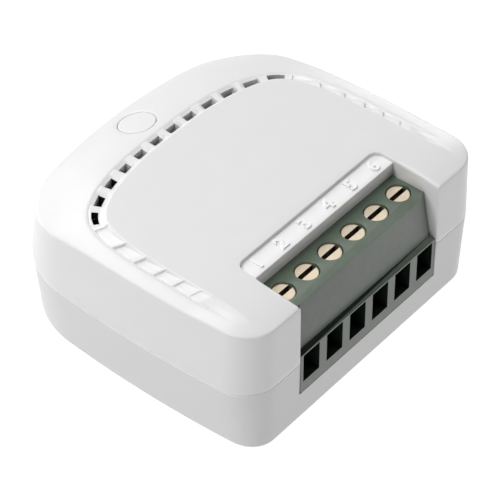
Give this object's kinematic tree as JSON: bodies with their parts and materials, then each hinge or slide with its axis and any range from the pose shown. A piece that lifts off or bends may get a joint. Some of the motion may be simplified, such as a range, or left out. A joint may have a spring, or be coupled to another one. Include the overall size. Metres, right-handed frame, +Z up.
{
  "type": "smart relay module",
  "caption": "Small rounded two-part plastic relay module with a screw terminal block in a front notch, vent slots around the top panel and a flush push button at the back.",
  "frame": {"origin": "bottom centre of the bounding box, on the flat underside", "axes": "+X along the terminal front, to the right seen from the front; +Y from the terminal front to the round back; +Z up"},
  "size_m": [0.0518, 0.0476, 0.0224],
  "materials": {
    "white_case": "fine satin moulding",
    "terminal_green": "satin grey-green moulding",
    "screw_brass": "pale yellow plated",
    "plated_steel": "bright zinc and nickel plating",
    "tinned_copper": "tinned",
    "board": "green solder mask",
    "black_plastic": "moulded",
    "spring_metal": "spring bronze",
    "relay_shell": "moulded",
    "bobbin_plastic": "moulded",
    "copper_wire": "enamelled copper wire",
    "soft_iron": "plated soft iron",
    "ferrite": "sintered",
    "capacitor_sleeve": "shrink sleeve",
    "varistor_coat": "epoxy coat",
    "resistor_coat": "cement coat"
  },
  "bodies": {
    "case": {"bridge_rectifier": "black_plastic", "bulk_capacitor_1": "capacitor_sleeve", "bulk_capacitor_2": "capacitor_sleeve", "choke_core": "ferrite", "choke_winding": "copper_wire", "converter_chip": "black_plastic", "fuse_resistor": "resistor_coat", "lower_case": "white_case", "main_board": "board", "optocouplers": "bobbin_plastic", "output_capacitor": "capacitor_sleeve", "radio_board": "board", "radio_header": "black_plastic", "radio_shield": "plated_steel", "regulator_chip": "black_plastic", "relay_1_base": "black_plastic", "relay_1_bobbin": "bobbin_plastic", "relay_1_core": "soft_iron", "relay_1_cover": "relay_shell", "relay_1_fixed_contact": "spring_metal", "relay_1_pins": "tinned_copper", "relay_1_winding": "copper_wire", "relay_1_yoke": "soft_iron", "relay_2_base": "black_plastic", "relay_2_bobbin": "bobbin_plastic", "relay_2_core": "soft_iron", "relay_2_cover": "relay_shell", "relay_2_fixed_contact": "spring_metal", "relay_2_pins": "tinned_copper", "relay_2_winding": "copper_wire", "relay_2_yoke": "soft_iron", "switch_base": "black_plastic", "switch_cover": "plated_steel", "switch_dome": "spring_metal", "terminal_contacts": "tinned_copper", "terminal_housing": "terminal_green", "upper_case": "white_case", "varistor": "varistor_coat"},
    "button": {"button_cap": "white_case"},
    "plunger": {"switch_plunger": "black_plastic"},
    "screw_1": {"terminal_screw_1": "screw_brass"},
    "clamp_1": {"clamp_cage_1": "plated_steel"},
    "screw_2": {"terminal_screw_2": "screw_brass"},
    "clamp_2": {"clamp_cage_2": "plated_steel"},
    "screw_3": {"terminal_screw_3": "screw_brass"},
    "clamp_3": {"clamp_cage_3": "plated_steel"},
    "screw_4": {"terminal_screw_4": "screw_brass"},
    "clamp_4": {"clamp_cage_4": "plated_steel"},
    "screw_5": {"terminal_screw_5": "screw_brass"},
    "clamp_5": {"clamp_cage_5": "plated_steel"},
    "screw_6": {"terminal_screw_6": "screw_brass"},
    "clamp_6": {"clamp_cage_6": "plated_steel"},
    "armature_1": {"relay_1_armature": "soft_iron", "relay_1_contact_spring": "spring_metal"},
    "armature_2": {"relay_2_armature": "soft_iron", "relay_2_contact_spring": "spring_metal"}
  },
  "joints": [
    {"name": "button_press", "type": "slide", "parent": "case", "child": "button", "axis": [0, 0, -1], "range_m": [0, 0.00025], "stiffness_N_per_m": 1000},
    {"name": "plunger_press", "type": "slide", "parent": "case", "child": "plunger", "axis": [0, 0, -1], "range_m": [0, 0.00025], "deforming": ["switch_dome"]},
    {"name": "screw_1_turn", "type": "hinge", "parent": "case", "child": "screw_1", "pos_m": [-0.0125, -0.0187, 0.0185], "axis": [0, 0, -1], "range_deg": [0, 2160]},
    {"name": "clamp_1_rise", "type": "slide", "parent": "case", "child": "clamp_1", "axis": [0, 0, 1], "range_m": [0, 0.003]},
    {"name": "screw_2_turn", "type": "hinge", "parent": "case", "child": "screw_2", "pos_m": [-0.0075, -0.0187, 0.0185], "axis": [0, 0, -1], "range_deg": [0, 2160]},
    {"name": "clamp_2_rise", "type": "slide", "parent": "case", "child": "clamp_2", "axis": [0, 0, 1], "range_m": [0, 0.003]},
    {"name": "screw_3_turn", "type": "hinge", "parent": "case", "child": "screw_3", "pos_m": [-0.0025, -0.0187, 0.0185], "axis": [0, 0, -1], "range_deg": [0, 2160]},
    {"name": "clamp_3_rise", "type": "slide", "parent": "case", "child": "clamp_3", "axis": [0, 0, 1], "range_m": [0, 0.003]},
    {"name": "screw_4_turn", "type": "hinge", "parent": "case", "child": "screw_4", "pos_m": [0.0025, -0.0187, 0.0185], "axis": [0, 0, -1], "range_deg": [0, 2160]},
    {"name": "clamp_4_rise", "type": "slide", "parent": "case", "child": "clamp_4", "axis": [0, 0, 1], "range_m": [0, 0.003]},
    {"name": "screw_5_turn", "type": "hinge", "parent": "case", "child": "screw_5", "pos_m": [0.0075, -0.0187, 0.0185], "axis": [0, 0, -1], "range_deg": [0, 2160]},
    {"name": "clamp_5_rise", "type": "slide", "parent": "case", "child": "clamp_5", "axis": [0, 0, 1], "range_m": [0, 0.003]},
    {"name": "screw_6_turn", "type": "hinge", "parent": "case", "child": "screw_6", "pos_m": [0.0125, -0.0187, 0.0185], "axis": [0, 0, -1], "range_deg": [0, 2160]},
    {"name": "clamp_6_rise", "type": "slide", "parent": "case", "child": "clamp_6", "axis": [0, 0, 1], "range_m": [0, 0.003]},
    {"name": "relay_1_armature_pivot", "type": "hinge", "parent": "case", "child": "armature_1", "pos_m": [-0.0126, -0.01095, 0.01737], "axis": [-1, 0, 0], "range_deg": [0, 2], "stiffness_Nm_per_rad": 0.01, "springref_deg": -5.73},
    {"name": "relay_2_armature_pivot", "type": "hinge", "parent": "case", "child": "armature_2", "pos_m": [-0.0019, -0.01095, 0.01737], "axis": [-1, 0, 0], "range_deg": [0, 2], "stiffness_Nm_per_rad": 0.01, "springref_deg": -5.73}
  ],
  "couplings": [
    {"joint": "plunger_press", "follows": "button_press", "ratio": 1},
    {"joint": "screw_1_turn", "follows": "clamp_1_rise", "rad_per_m": 12566},
    {"joint": "screw_2_turn", "follows": "clamp_2_rise", "rad_per_m": 12566},
    {"joint": "screw_3_turn", "follows": "clamp_3_rise", "rad_per_m": 12566},
    {"joint": "screw_4_turn", "follows": "clamp_4_rise", "rad_per_m": 12566},
    {"joint": "screw_5_turn", "follows": "clamp_5_rise", "rad_per_m": 12566},
    {"joint": "screw_6_turn", "follows": "clamp_6_rise", "rad_per_m": 12566}
  ]
}
